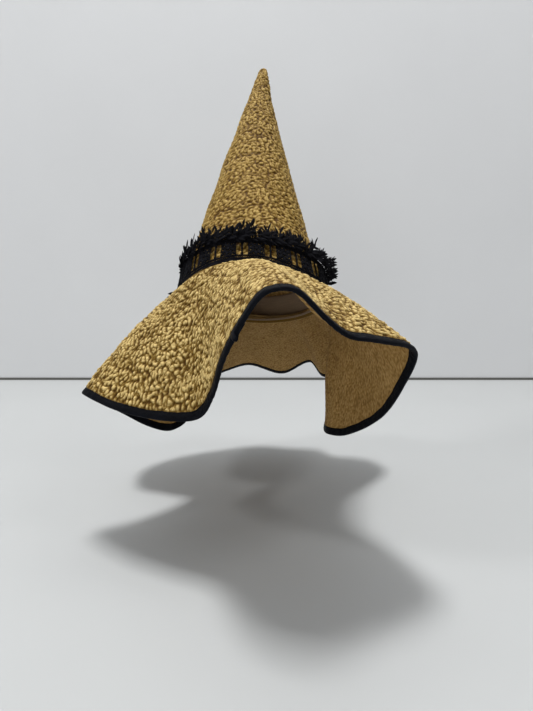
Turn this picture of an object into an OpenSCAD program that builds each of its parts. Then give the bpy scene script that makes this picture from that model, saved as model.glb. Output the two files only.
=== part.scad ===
// Conical cloth hat: a tall crown, a wide soft brim bound along its hem,
// and a band of thread lace round the foot of the crown.
// Millimetres. The origin is the centre of the head opening, +Z is up as the
// hat is worn, -Y is the wearer's front, and the crown is tilted back.

/* [Head opening] */
// Radius of the head opening, where the crown is sewn to the brim
head_r = 85.5; // [82:0.5:92]
// How far the seam hangs below the opening's plane, all the way round
seam_low = 2; // [0:0.5:4]
// How far the seam sags further on each side of the forehead
seam_dip = 11; // [0:1:12]

/* [Crown] */
// Height from the head opening to where the straight sides would meet
cone_h = 343; // [300:1:380]
// Radius of the rounded tip
tip_r = 5; // [4:0.5:8]
// Backward tilt of the crown as worn, in degrees
crown_tilt = 26; // [16:1:30]
// Lean of the crown towards +X, in degrees
crown_lean = 3; // [0:1:6]
// Depth that the crown cloth turns down past the seam
crown_turn_down = 16; // [12:1:20]
// Height at which the interlining ends, short of the tip
interlining_top = 300; // [240:5:310]
// Height at which the lining closes, short of the tip
lining_top = 290; // [240:5:300]

/* [Brim] */
// Width of the brim from the head opening to the hem
brim_w = 162; // [150:1:175]
// How far each line across the brim bows upwards, as a share of its length
brim_bow = 0.035; // [0:0.005:0.08]

/* [Cloth] */
// Thickness of the crinkled outer cloth
cloth_t = 1.6; // [1:0.1:2.5]
// Thickness of the stiff interlining
interlining_t = 0.8; // [0.5:0.1:1.5]
// Thickness of the lining
lining_t = 0.8; // [0.5:0.1:1.2]
// Thickness of a pressed seam allowance
allowance_t = 1; // [0.6:0.1:1.2]
// Width of each seam allowance
allowance_w = 8; // [6:1:12]
// Thickness of the sweatband ribbon
sweatband_t = 1; // [0.6:0.1:1.5]
// Height of the sweatband ribbon
sweatband_h = 30; // [22:1:38]
// Room left between two loose layers
layer_gap = 0.1; // [0.1:0.1:0.5]

/* [Binding] */
// Width of the binding on each side of the brim
binding_w = 6.5; // [5:0.5:12]
// Thickness of the folded binding tape
binding_t = 0.7; // [0.5:0.1:1.2]
// Length along the hem where the ends of the binding overlap
join_l = 14; // [10:1:24]

/* [Lace band] */
// Radial room between the crown cloth and the foot of the lace
lace_gap = 1.5; // [1:0.5:4]
// Lean of the lace towards the crown, less than the crown's own slope
lace_lean = 9; // [6:1:14]
// Height of the plain heading along the lower edge
heading_h = 8; // [5:1:10]
// Height of the openwork between heading and braid
openwork_h = 15; // [12:1:18]
// Height of the braid above the openwork
braid_h = 6; // [4:1:8]
// Thickness of the lace cords and braids
lace_t = 1.6; // [1.2:0.1:2.4]
// Number of rosettes round the crown
rosettes = 18; // [16:1:22]
// Radius of one rosette
rosette_r = 7.4; // [6:0.1:9]
// Length of one leaf of the fringe
leaf_l = 21; // [14:1:26]
// Leaves to each rosette
leaves_each = 6; // [4:1:8]

/* [Thread] */
// Radius of the sewing thread
thread_r = 0.4; // [0.3:0.1:0.6]
// Length of one stitch
stitch_l = 4.5; // [3:0.5:6]

/* [Hidden] */

straw = "burlywood";
lining_colour = "peru";
stiffener_colour = "linen";
black = [0.08, 0.08, 0.1];
thread_colour = "tan";

round_fn = 64;
thread_fn = 16;
tip_steps = 6;

// Slope of the cone's side from its axis.
slope = atan(head_r / cone_h);
band_r = head_r + lace_gap;
band_h = heading_h + openwork_h + braid_h;
openwork_middle = heading_h + openwork_h / 2;
rosette_t = 1.5 * lace_t;

// The layers of the crown, as depths below the outer face.
interlining_d = cloth_t;
allowance_d = interlining_d + interlining_t + layer_gap;
lining_d = allowance_d + allowance_t + layer_gap;
sweatband_d = lining_d + lining_t + layer_gap;

// Grid of the brim's sheets: steps round the hem and across the brim.
around = 120;
across = 6;
// Where the brim's sheets start, just clear of the crown cloth.
brim_start_r = head_r + 1.2;
// How steeply a line across the brim leaves the seam, as rise over run, and
// where along it the bow is highest.
leave_rise = 0.15;
bow_at = 0.42;
// Steps either side of a point for working out the brim's normal.
share_step = 0.02;
az_step = 0.5;
// Layers of the brim, as heights over the face between cloth and interlining.
cloth_up = cloth_t;
interlining_down = -interlining_t;
lining_down = interlining_down - lining_t;
hem_round = 1;
// Room between a stitch and the face that it lies on.
lie_gap = 0.05;

// Azimuth of the crown's seam, and how far up the crown its pressed edges run.
seam_az = 90;
seam_foot = 3;
seam_top = 240;
// Azimuths of the join in the binding and of the cut end of the lace.
join_az = 259;
spur_az = 184;
// Azimuth of the first rosette.
lace_turn = -8.6;

// The seam stays up at this azimuth, sags most 60 degrees to either side, and
// more on the -X side than on the +X side.
sag_mid = -97;
sag_end = 120;
sag_uneven = 0.25;
function seam_sag(az) = let (off = abs((az - sag_mid + 540) % 360 - 180))
  seam_low + (off < sag_end
    ? seam_dip * pow(sin(1.5 * off), 2.5) * (1 - sag_uneven * cos(az)) : 0);
// Share of that sag that the lace has made up for at its braid.
lace_evens = 0.6;

// The hem as it hangs: azimuth on the head opening, then x, y, z of the hem.
// It arches over the face, falls in a flap on each side and hangs in soft
// waves behind.
hem_keys = [
  [-90,   25, -240,   17], [-86,   39, -239,   14], [-80,   62, -230,   -8],
  [-74,   81, -220,  -22], [-68,  105, -210,  -27], [-57,  145, -178,  -41],
  [-46,  144, -148,  -78],
  [-33,  132, -107, -122], [-19,  103,  -65, -154], [-11,   85,  -35, -161],
  [  1,   97,   15, -163], [ 14,  140,   60, -155], [ 30,  172,  115, -125],
  [ 41,  150,  157, -118], [ 52,  105,  170, -138], [ 60,   84,  198, -120],
  [ 71,   40,  205, -140], [ 84,  -15,  215, -128], [ 98,  -72,  195, -140],
  [113, -130,  165, -130], [128, -172,  115, -130], [142, -165,   55, -150],
  [153, -125,   35, -170], [161,  -91,   20, -165], [167, -105,   -5, -168],
  [175, -127,  -25, -156], [184, -154,  -45, -133], [195, -187,  -68, -106],
  [209, -141, -112, -111], [222,  -89, -142, -113], [231,  -51, -160, -107],
  [241,  -34, -180,  -82], [252,  -21, -212,  -43], [260,   -6, -228,  -13],
  [266,   10, -237,   11]];
keys = len(hem_keys);

// ---------- the crown's frame ----------

// Turns a shape from the crown's own frame to the way the hat is worn.
module worn() { rotate([-crown_tilt, crown_lean, 0]) children(); }

// The same turn for a point.
function tilted(p) =
  [p.x, p.y * cos(crown_tilt) + p.z * sin(crown_tilt),
   -p.y * sin(crown_tilt) + p.z * cos(crown_tilt)];
function worn_point(p) = let (q = tilted(p))
  [q.x * cos(crown_lean) + q.z * sin(crown_lean), q.y,
   -q.x * sin(crown_lean) + q.z * cos(crown_lean)];

// ---------- the crown ----------

// Height at which a face of the crown at this depth would come to a point.
function apex_at(depth) = cone_h - depth / sin(slope);

// One face of the crown's wall in section, from the foot to a round tip of
// radius r, at a depth below the outer face.
function cone_face(depth, foot, r) =
  concat(
    [[(apex_at(depth) - foot) * tan(slope), foot]],
    [for (i = [0 : tip_steps])
      let (a = slope + (90 - slope) * i / tip_steps)
      [r * cos(a), apex_at(depth) - r / sin(slope) + r * sin(a)]]);

// Wall between two depths, closed at the tip.
module closed_cone(outer, inner, foot) {
  worn() rotate_extrude($fn = round_fn)
    polygon(concat(
      cone_face(outer, foot, tip_r),
      [for (i = [tip_steps + 1 : -1 : 0])
        cone_face(inner, foot, tip_r - (inner - outer) / 2)[i]]));
}

// Wall between two depths, cut off at a height.
module open_cone(outer, inner, foot, top) {
  worn() rotate_extrude($fn = round_fn)
    polygon([
      [(apex_at(outer) - foot) * tan(slope), foot],
      [(apex_at(outer) - top) * tan(slope), top],
      [(apex_at(inner) - top) * tan(slope), top],
      [(apex_at(inner) - foot) * tan(slope), foot]]);
}

module crown_cloth() {
  color(straw) closed_cone(0, cloth_t, -crown_turn_down);
}

module crown_interlining() {
  color(stiffener_colour)
    open_cone(interlining_d, interlining_d + interlining_t, 0, interlining_top);
}

module crown_lining() {
  function side(depth, up) = (apex_at(depth) - up) * tan(slope);
  inner = lining_d + lining_t;
  roof = lining_top - lining_t;
  color(lining_colour) worn() rotate_extrude($fn = round_fn)
    polygon([[side(lining_d, 0), 0], [side(lining_d, lining_top), lining_top],
      [0, lining_top], [0, roof], [side(inner, roof), roof], [side(inner, 0), 0]]);
}

// Places a shape on the crown: +X outwards, +Z up the cone's side.
module on_crown(az, up, out) {
  worn() rotate([0, 0, az]) translate([head_r, 0, 0]) rotate([0, -slope, 0])
    translate([out, 0, up]) children();
}

// The two pressed edges of the seam, one on each side of the stitches.
module crown_seam_allowance() {
  half_room = thread_r + layer_gap;
  depth = 20;
  color(straw)
    for (side = [-1, 1])
      intersection() {
        open_cone(allowance_d, allowance_d + allowance_t, seam_foot, seam_top);
        on_crown(seam_az, seam_foot + seam_top, 0)
          translate([0, side * (allowance_w / 2 + half_room), 0])
            cube([depth, allowance_w, 2 * seam_top], center = true);
      }
}

module crown_seam_stitches() {
  pitch = 8;
  color(thread_colour)
    for (up = [2 * pitch : pitch : seam_top - pitch])
      on_crown(seam_az, up, -allowance_d - allowance_t / 2)
        cylinder(r = thread_r, h = stitch_l, $fn = thread_fn);
}

module sweatband() {
  below = 2;
  color(lining_colour)
    open_cone(sweatband_d, sweatband_d + sweatband_t, -below, sweatband_h - below);
}

// A ring of stitches on the crown, each lying round the crown, which may hang
// with the seam.
module stitch_ring(count, up, out, hangs) {
  for (i = [0 : count - 1]) {
    az = i * 360 / count;
    on_crown(az, up - (hangs ? seam_sag(az) : 0), out)
      rotate([90, 0, 0])
        cylinder(r = thread_r, h = stitch_l, center = true, $fn = thread_fn);
  }
}

module sweatband_stitches() {
  count = 60;
  height = 1.5;
  face = -(sweatband_d + sweatband_t);
  color(thread_colour) stitch_ring(count, height, face - thread_r - lie_gap, false);
}

// The stitches that hold the brim, seen just above it on the crown.
module head_seam_stitches() {
  count = 64;
  height = 3;
  color(thread_colour) stitch_ring(count, height, thread_r + lie_gap, true);
}

// ---------- the brim ----------

// Key number i, counted round the hem as often as needed.
function key_az(i) = hem_keys[(i + keys) % keys][0] + 360 * floor(i / keys);
function key_pt(i) = let (k = hem_keys[(i + keys) % keys]) [k[1], k[2], k[3]];
function key_before(az, i = 0) = az < key_az(i + 1) ? i : key_before(az, i + 1);
function key_slope(i) =
  (key_pt(i + 1) - key_pt(i - 1)) / (key_az(i + 1) - key_az(i - 1));

// The hem at any azimuth, as a smooth curve through the keys.
function hem(az) =
  let (a = az - 360 * floor((az - key_az(0)) / 360), i = key_before(a),
       gap = key_az(i + 1) - key_az(i), t = (a - key_az(i)) / gap)
  (2 * t * t * t - 3 * t * t + 1) * key_pt(i)
  + (t * t * t - 2 * t * t + t) * gap * key_slope(i)
  + (-2 * t * t * t + 3 * t * t) * key_pt(i + 1)
  + (t * t * t - t * t) * gap * key_slope(i + 1);

// The seam round the head opening, which keeps clear of the crown as it sags.
function seam(az) =
  let (sag = seam_sag(az), r = brim_start_r + sag * tan(slope))
  worn_point([r * cos(az), r * sin(az), -sag]);

function unit(v) = v / norm(v);

// A point of the brim at an azimuth and a share of the way to the hem.
function brim_face(az, share) =
  let (from = seam(az), to = hem(az), chord = to - from,
       outward = worn_point([cos(az), sin(az), leave_rise]),
       bow = unit(outward - (outward * unit(chord)) * unit(chord)),
       control = from + bow_at * chord + 2 * brim_bow * norm(chord) * bow)
  (1 - share) * (1 - share) * from + 2 * share * (1 - share) * control
  + share * share * to;

// Upward normal of the brim.
function brim_normal(az, share) =
  unit(cross(brim_face(az, share + share_step) - brim_face(az, share - share_step),
             brim_face(az + az_step, share) - brim_face(az - az_step, share)));

// A point at a height over the brim's middle face.
function brim_point(az, share, up) =
  brim_face(az, share) + up * brim_normal(az, share);

function az_at(i) = -90 + 360 * i / around;

// One sheet of the brim between two heights over its middle face.
module brim_sheet(low, high) {
  row = across + 1;
  layer = around * row;
  points = [for (up = [high, low]) for (i = [0 : around - 1]) for (j = [0 : across])
    brim_point(az_at(i), j / across, up)];
  function at(i, j, l) = l * layer + (i % around) * row + j;
  quads = concat(
    [for (i = [0 : around - 1]) for (j = [0 : across - 1])
      [at(i, j, 0), at(i + 1, j, 0), at(i + 1, j + 1, 0), at(i, j + 1, 0)]],
    [for (i = [0 : around - 1]) for (j = [0 : across - 1])
      [at(i, j, 1), at(i, j + 1, 1), at(i + 1, j + 1, 1), at(i + 1, j, 1)]],
    [for (i = [0 : around - 1])
      [at(i, 0, 1), at(i + 1, 0, 1), at(i + 1, 0, 0), at(i, 0, 0)]],
    [for (i = [0 : around - 1])
      [at(i, across, 0), at(i + 1, across, 0), at(i + 1, across, 1), at(i, across, 1)]]);
  polyhedron(points = points, faces = split(quads));
}

// Each four-sided face as two triangles.
function split(quads) =
  [for (q = quads) each [[q[0], q[1], q[2]], [q[0], q[2], q[3]]]];

module brim_top_cloth() { color(straw) brim_sheet(0, cloth_up); }

module brim_interlining() {
  color(stiffener_colour) brim_sheet(interlining_down, 0);
}

module brim_lining() { color(lining_colour) brim_sheet(lining_down, interlining_down); }

// Half of the binding's section, upper edge to lower edge, as distance in from
// the hem and height, at a distance out from the cloth. A nub stands further
// out, past the hem only.
function binding_line(out, nub) =
  let (top = cloth_up + out, low = lining_down - out, past = -out - hem_round - nub)
  [[binding_w, top], [0, top], [past, cloth_up - hem_round],
   [past, lining_down + hem_round], [0, low], [binding_w, low]];

// Section of a tape folded over the hem: the outer line, then the inner line
// backwards.
function tape_section(inner, outer, nub) =
  let (line = binding_line(inner, 0), last = len(line) - 1)
  concat(binding_line(outer, nub), [for (i = [last : -1 : 0]) line[i]]);

// The tape's sections carried along a row of azimuths, as a mesh's points.
function tape_points(azimuths, sections) =
  [for (i = [0 : len(azimuths) - 1]) for (p = sections[i])
    brim_point(azimuths[i], 1 - p.x / brim_w, p.y)];

// The sides between one section of n points and the next, round count sections.
function tape_sides(steps, count, n) =
  [for (i = [0 : steps - 1]) for (j = [0 : n - 1])
    [i * n + j, i * n + (j + 1) % n,
     ((i + 1) % count) * n + (j + 1) % n, ((i + 1) % count) * n + j]];

module brim_binding() {
  section = tape_section(0, binding_t, 0);
  color(black)
    polyhedron(
      points = tape_points([for (i = [0 : around - 1]) az_at(i)],
        [for (i = [0 : around - 1]) section]),
      faces = split(tape_sides(around, around, len(section))));
}

// The overlapped end of the binding, a short second layer with a folded nub.
module binding_join() {
  steps = 4;
  half = join_l / 2 / (head_r + brim_w) * 180 / PI;
  nubs = [0, 0.5, 3, 0.5, 0];
  inner = binding_t + layer_gap;
  sections = [for (nub = nubs) tape_section(inner, inner + binding_t, nub)];
  n = len(sections[0]);
  last = steps * n;
  first_end = [for (i = [0 : n / 2 - 2]) [n - 1 - i, n - 2 - i, i + 1, i]];
  last_end = [for (q = first_end) [last + q[3], last + q[2], last + q[1], last + q[0]]];
  color(black)
    polyhedron(
      points = tape_points(
        [for (i = [0 : steps]) join_az + half * (2 * i / steps - 1)], sections),
      faces = split(concat(tape_sides(steps, steps + 1, n), first_end, last_end)));
}

// A straight thread between two points.
module thread(p, q) {
  d = q - p;
  translate(p) rotate([0, acos(d.z / norm(d)), atan2(d.y, d.x)])
    cylinder(r = thread_r, h = norm(d), $fn = thread_fn);
}

// A row of stitches near the binding's inner edge, two to each step of the
// mesh, so that every stitch lies flat on its face.
module binding_stitches() {
  edge_room = 1.5;
  share = 1 - (binding_w - edge_room) / brim_w;
  up = cloth_up + binding_t + thread_r + lie_gap;
  color(black)
    for (i = [0 : around - 1]) {
      from = brim_point(az_at(i), share, up);
      to = brim_point(az_at(i + 1), share, up);
      half = stitch_l / 2 * unit(to - from);
      for (middle = [(3 * from + to) / 4, (from + 3 * to) / 4])
        thread(middle - half, middle + half);
    }
}

// ---------- the lace band ----------

// The lace's foot stands on the brim's cloth.
foot_up = cloth_t;

// Height on the lace once it has sagged with the seam.
function hung(az, up) =
  up - seam_sag(az) * (1 - lace_evens * min(up / (heading_h + openwork_h), 1));

// Places a shape on the lace: +X outwards, +Z up the lace.
module on_band(az, up, out) {
  worn() rotate([0, 0, az]) translate([band_r, 0, 0]) rotate([0, -lace_lean, 0])
    translate([out, 0, hung(az, up)]) children();
}

// A flat ring of the lace between two heights, which hangs with the seam.
module band_ring(low, height) {
  function at(az, up, out) =
    let (r = band_r + out * cos(lace_lean) - hung(az, up) * sin(lace_lean),
         z = out * sin(lace_lean) + hung(az, up) * cos(lace_lean))
    worn_point([r * cos(az), r * sin(az), z]);
  polyhedron(
    points = [for (i = [0 : around - 1]) for (q = [[low, 0], [low, lace_t],
      [low + height, lace_t], [low + height, 0]]) at(az_at(i), q[0], q[1])],
    faces = split(tape_sides(around, around, 4)));
}

module lace_heading() { color(black) band_ring(foot_up, heading_h - foot_up); }

module lace_braid() { color(black) band_ring(heading_h + openwork_h, braid_h); }

module lace_rosettes() {
  hole_r = 2;
  color(black)
    for (i = [0 : rosettes - 1])
      on_band(lace_turn + i * 360 / rosettes, openwork_middle, lace_t / 2)
        rotate([0, 90, 0]) difference() {
          cylinder(r = rosette_r, h = rosette_t, center = true, $fn = round_fn);
          cylinder(r = hole_r, h = 2 * rosette_t, center = true, $fn = thread_fn);
        }
}

// The upright bars between one rosette and the next.
module lace_bars() {
  width = 2.4;
  color(black)
    for (i = [0 : rosettes - 1])
      on_band(lace_turn + (i + 0.5) * 360 / rosettes, openwork_middle, lace_t / 2)
        cube([lace_t, width, openwork_h], center = true);
}

// One pointed leaf, growing up along Z, flat across X.
module leaf(length, width) {
  widest_at = 0.4;
  middle = widest_at * length;
  polyhedron(
    points = [[0, 0, 0], [lace_t / 2, 0, middle], [0, width / 2, middle],
      [-lace_t / 2, 0, middle], [0, -width / 2, middle], [0, 0, length]],
    faces = [[0, 1, 2], [0, 2, 3], [0, 3, 4], [0, 4, 1],
      [5, 2, 1], [5, 3, 2], [5, 4, 3], [5, 1, 4]]);
}

// How far the leaves fall outwards, in degrees: most on the +X side.
least_flare = 12;
more_flare = 60;
function flare(az) = least_flare + more_flare * pow(max(0, cos(az)), 4);

// The leaves lean left and right by turns, and no two quite alike: each
// unevenness is a sine with its own step from leaf to leaf.
module lace_leaves() {
  count = rosettes * leaves_each;
  width = 5;
  lean = 14;
  uneven = 7;
  shortest = 0.8;
  color(black)
    for (i = [0 : count - 1]) {
      az = i * 360 / count;
      side = i % 2 == 0 ? 1 : -1;
      length = leaf_l * (shortest + (1 - shortest) * (1 + sin(i * 131)) / 2);
      on_band(az, band_h + lie_gap, lace_t / 2)
        rotate([0, flare(az) + uneven * sin(i * 150), 0])
          rotate([side * (lean + uneven * sin(i * 77)), 0, 0])
            leaf(length, width);
    }
}

// The cut end of the lace where it overlaps, with one loose leaf.
module lace_spur() {
  width = 9;
  spur_l = 13;
  spur_w = 4;
  spur_up = 3;
  spur_turn = 125;
  out = (rosette_t + lace_t) / 2 + lace_t / 2 + lie_gap;
  color(black) {
    on_band(spur_az, (foot_up + band_h) / 2, out)
      cube([lace_t, width, band_h - foot_up], center = true);
    on_band(spur_az, spur_up, out) rotate([0, spur_turn, 0]) leaf(spur_l, spur_w);
  }
}

// One stitch through the heading beside each rosette.
module lace_stitches() {
  beside = 0.25;
  color(black)
    for (i = [0 : rosettes - 1])
      on_band(lace_turn + (i + beside) * 360 / rosettes, (foot_up + heading_h) / 2,
          lace_t + thread_r + lie_gap)
        cylinder(r = thread_r, h = stitch_l, center = true, $fn = thread_fn);
}

crown_cloth();
crown_interlining();
crown_lining();
crown_seam_allowance();
crown_seam_stitches();
sweatband();
sweatband_stitches();
head_seam_stitches();
brim_top_cloth();
brim_interlining();
brim_lining();
brim_binding();
binding_join();
binding_stitches();
lace_heading();
lace_braid();
lace_rosettes();
lace_bars();
lace_leaves();
lace_spur();
lace_stitches();
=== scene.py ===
"""Visual model of a conical cloth hat with a wavy brim, built round its CAD frame.

Shapes are worked out in millimetres and turned to metres when a mesh is made.
"""
import math

import bpy
import numpy as np
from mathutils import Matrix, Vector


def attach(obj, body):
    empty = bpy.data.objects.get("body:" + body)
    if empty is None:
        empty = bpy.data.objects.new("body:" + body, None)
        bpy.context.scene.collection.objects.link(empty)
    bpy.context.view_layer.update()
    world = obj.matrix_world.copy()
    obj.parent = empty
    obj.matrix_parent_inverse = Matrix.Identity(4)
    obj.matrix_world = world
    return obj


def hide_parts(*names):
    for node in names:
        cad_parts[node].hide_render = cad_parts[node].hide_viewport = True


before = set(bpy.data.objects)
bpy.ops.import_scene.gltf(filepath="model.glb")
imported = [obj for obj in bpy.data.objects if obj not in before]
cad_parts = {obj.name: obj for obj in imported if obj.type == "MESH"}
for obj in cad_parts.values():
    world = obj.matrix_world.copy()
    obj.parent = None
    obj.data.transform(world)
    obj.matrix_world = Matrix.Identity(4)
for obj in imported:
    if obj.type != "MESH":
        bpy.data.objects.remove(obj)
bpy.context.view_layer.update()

MM = 0.001
TURN = 360.0

# ---------- sizes, the same as the CAD source's ----------

HEAD_R = 85.5
SEAM_LOW = 2.0
SEAM_DIP = 11.0
DIP_UNEVEN = 0.25
# The middle of the stretch over the face where the seam stays up, and how far
# from it the sagging ends.
SAG_MID = -97.0
SAG_END = 120.0
CONE_H = 343.0
TIP_R = 5.0
CROWN_TILT = math.radians(26)
CROWN_LEAN = math.radians(3)
BRIM_W = 162.0
BRIM_BOW = 0.035
BRIM_START_R = HEAD_R + 1.2
LEAVE_RISE = 0.15
BOW_AT = 0.42
CLOTH_T = 1.6
INTERLINING_T = 0.8
LINING_T = 0.8
ALLOWANCE_T = 1.0
ALLOWANCE_W = 8.0
SWEATBAND_T = 1.0
LAYER_GAP = 0.1
THREAD_R = 0.4
SEAM_AZ = 90.0
JOIN_AZ = 259.0
SPUR_AZ = 184.0
SLOPE = math.atan(HEAD_R / CONE_H)
SIDE_L = CONE_H / math.cos(SLOPE)
ALLOWANCE_D = CLOTH_T + INTERLINING_T + LAYER_GAP
LINING_D = ALLOWANCE_D + ALLOWANCE_T + LAYER_GAP
SWEATBAND_D = LINING_D + LINING_T + LAYER_GAP
LACE_LEAN = math.radians(9)
BAND_R = HEAD_R + 1.5
HEADING_H = 8.0
OPENWORK_H = 15.0
BRAID_H = 6.0
BAND_H = HEADING_H + OPENWORK_H + BRAID_H
ROSETTES = 18
LACE_TURN = -8.6
# Height up the crown at which the sag of the seam has died out.
SAG_FADE = 50.0

# The hem as it hangs: azimuth on the head opening, then x, y, z of the hem.
HEM_KEYS = np.array([
    (-90, 25, -240, 17), (-86, 39, -239, 14), (-80, 62, -230, -8),
    (-74, 81, -220, -22), (-68, 105, -210, -27), (-57, 145, -178, -41),
    (-46, 144, -148, -78), (-33, 132, -107, -122), (-19, 103, -65, -154), (-11, 85, -35, -161),
    (1, 97, 15, -163), (14, 140, 60, -155), (30, 172, 115, -125),
    (41, 150, 157, -118), (52, 105, 170, -138), (60, 84, 198, -120),
    (71, 40, 205, -140), (84, -15, 215, -128), (98, -72, 195, -140),
    (113, -130, 165, -130), (128, -172, 115, -130), (142, -165, 55, -150),
    (153, -125, 35, -170), (161, -91, 20, -165), (167, -105, -5, -168),
    (175, -127, -25, -156), (184, -154, -45, -133), (195, -187, -68, -106),
    (209, -141, -112, -111), (222, -89, -142, -113), (231, -51, -160, -107),
    (241, -34, -180, -82), (252, -21, -212, -43), (260, -6, -228, -13),
    (266, 10, -237, 11)], float)

# ---------- shapes that only this model has ----------

# How far the crown has bent away from +X, and how much of that its tip gives
# back, as a share.
CROWN_BEND = 7.5
TIP_BACK = 0.65
# How hollow the crown is above the lace, and how deep the fold in front of the
# flap on the +X side is.
WAIST = 2.2
FOLD = 6.0
# Where the crown's stiffener and lining end, up its side, and the height that
# the lining's cloth was cut for.
STIFFENER_TOP = 300.0
LINING_TOP = 285.0

# ---------- small helpers ----------


def vec(*parts):
    """Points from separate coordinates."""
    return np.stack(np.broadcast_arrays(*parts), axis=-1).astype(float)


def alike(*values):
    """Float arrays of one shape."""
    return np.broadcast_arrays(*(np.asarray(value, float) for value in values))


def unit(v):
    return v / np.linalg.norm(v, axis=-1, keepdims=True)


def step(low, high, value):
    """0 below low, 1 above high, and smooth between."""
    t = np.clip((value - low) / (high - low), 0, 1)
    return t * t * (3 - 2 * t)


def bump(middle, half, value):
    """1 in the middle, falling smoothly to 0 at half either side."""
    return step(0, 1, 1 - np.abs(value - middle) / half)


def waves(u, v, length, seed, count):
    """Smooth random field of unit variance, of waves about length long."""
    rng = np.random.default_rng(seed)
    total = np.zeros(np.broadcast(u, v).shape)
    for _ in range(count):
        angle = math.pi / 2 + rng.normal(0, math.pi)
        k = 2 * math.pi / length * rng.uniform(0.75, 1.3)
        phase = rng.uniform(0, 2 * math.pi)
        total += np.cos(k * (u * math.cos(angle) + v * math.sin(angle)) + phase)
    return total / math.sqrt(count / 2)


def angles(count):
    return 2 * math.pi * np.arange(count) / count


class Crinkle:
    """Puffed cloth over the flat cloth, worked out once on a grid. In each
    random field only waves about one length long grow. The lines where two of
    them are zero are the creases, and a third is the swell between them.
    Puckers are longer along the grain."""

    CELL, GROWTH, PUSH = 0.5, 0.7, 0.6

    def __init__(self, size, period, seed, grain, stretch):
        self.n = int(size / self.CELL)
        first = np.abs(self.grown(1.5 * period, seed, grain, stretch, 4))
        second = np.abs(self.grown(1.25 * period, seed + 1, grain + 1.2, 1.1, 4))
        creased = np.clip(np.minimum(first, second + 0.2) / 1.1, 0, 1) ** 0.55
        swell = np.clip(self.grown(period, seed + 2, grain, stretch, 2) / 4.2 + 0.5, 0, 1)
        self.field = 0.6 * creased + 0.4 * swell

    def grown(self, period, seed, grain, stretch, steps):
        k = 2 * math.pi * np.fft.fftfreq(self.n, self.CELL)
        ku, kv = np.meshgrid(k, k, indexing="ij")
        along = (ku * math.cos(grain) + kv * math.sin(grain)) * stretch
        across = kv * math.cos(grain) - ku * math.sin(grain)
        off = 1 - (along**2 + across**2) * (period / (2 * math.pi)) ** 2
        gain = 1 / (1 - self.PUSH * (self.GROWTH - off**2))
        field = np.random.default_rng(seed).normal(0, 0.15, (self.n, self.n))
        for _ in range(steps):
            pushed = field + self.PUSH * (0.4 * field**2 - field**3)
            field = np.real(np.fft.ifft2(np.fft.fft2(pushed) * gain))
        return (field - field.mean()) / field.std()

    def __call__(self, u, v):
        """0 in the creases and 1 on top of each pucker."""
        a, b = u / self.CELL + self.n / 2, v / self.CELL + self.n / 2
        i, j = np.floor(a).astype(int), np.floor(b).astype(int)
        s, t, n = a - i, b - j, self.n
        f = self.field
        low = f[i % n, j % n] * (1 - s) + f[(i + 1) % n, j % n] * s
        high = f[i % n, (j + 1) % n] * (1 - s) + f[(i + 1) % n, (j + 1) % n] * s
        return low * (1 - t) + high * t


def seam_sag(az):
    """How far the seam round the head opening hangs below its plane."""
    off = np.abs((np.asarray(az, float) - SAG_MID + 540) % TURN - 180)
    dip = SEAM_DIP * np.abs(np.sin(np.radians(1.5 * off))) ** 2.5
    dip = dip * (1 - DIP_UNEVEN * np.cos(np.radians(az)))
    return SEAM_LOW + np.where(off < SAG_END, dip, 0)


# ---------- the crown's frame ----------


def worn(p):
    """Turns points from the crown's own frame to the way the hat is worn."""
    x, y, z = p[..., 0], p[..., 1], p[..., 2]
    ct, st = math.cos(CROWN_TILT), math.sin(CROWN_TILT)
    cl, sl = math.cos(CROWN_LEAN), math.sin(CROWN_LEAN)
    back, up = y * ct + z * st, -y * st + z * ct
    return vec(x * cl + up * sl, back, -x * sl + up * cl)


def cone_point(az, along, out, r0, slope):
    """Point on a cone that narrows upwards, out from its face, before it is
    worn. The crown's slight bend moves it sideways."""
    a = np.radians(az)
    r = r0 + out * math.cos(slope) - along * math.sin(slope)
    z = out * math.sin(slope) + along * math.cos(slope)
    return bent(vec(r * np.cos(a), r * np.sin(a), z))


def bent(p):
    up = np.clip(p[..., 2] / CONE_H, 0, 1)
    return p - vec(CROWN_BEND * (1 - (1 - up) ** 3) * (1 - TIP_BACK * up**12), 0, 0)


# The side of the crown ends where it meets the round tip.
TIP_FROM = SIDE_L - TIP_R / math.tan(SLOPE)
TIP_L = TIP_FROM + TIP_R * (math.pi / 2 - SLOPE)


def crown_point(az, along, out):
    """Point of the crown by distance along its side from the seam, over the
    round tip too."""
    az, along, out = alike(az, along, out)
    down = seam_sag(az) * (1 - step(0, SAG_FADE, along))
    out = out - WAIST * step(8, 60, along) * step(335, 270, along)
    side = cone_point(az, along - down, out, HEAD_R, SLOPE)
    turn = SLOPE + np.clip(along - TIP_FROM, 0, None) / TIP_R
    r = (TIP_R + out) * np.cos(turn)
    z = CONE_H - TIP_R / math.sin(SLOPE) + (TIP_R + out) * np.sin(turn)
    a = np.radians(az)
    cap = bent(vec(r * np.cos(a), r * np.sin(a), z))
    return worn(np.where((along > TIP_FROM)[..., None], cap, side))


def crown_flat(az, along):
    """Where a point of the crown lies on the flat sector it was cut from, with
    the seam behind."""
    slant = SIDE_L - along
    around = (np.asarray(az) + 90 + 180) % TURN - 180
    turn = np.radians(around) * math.sin(SLOPE)
    return slant * np.sin(turn), slant * np.cos(turn)


# ---------- the brim ----------


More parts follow.
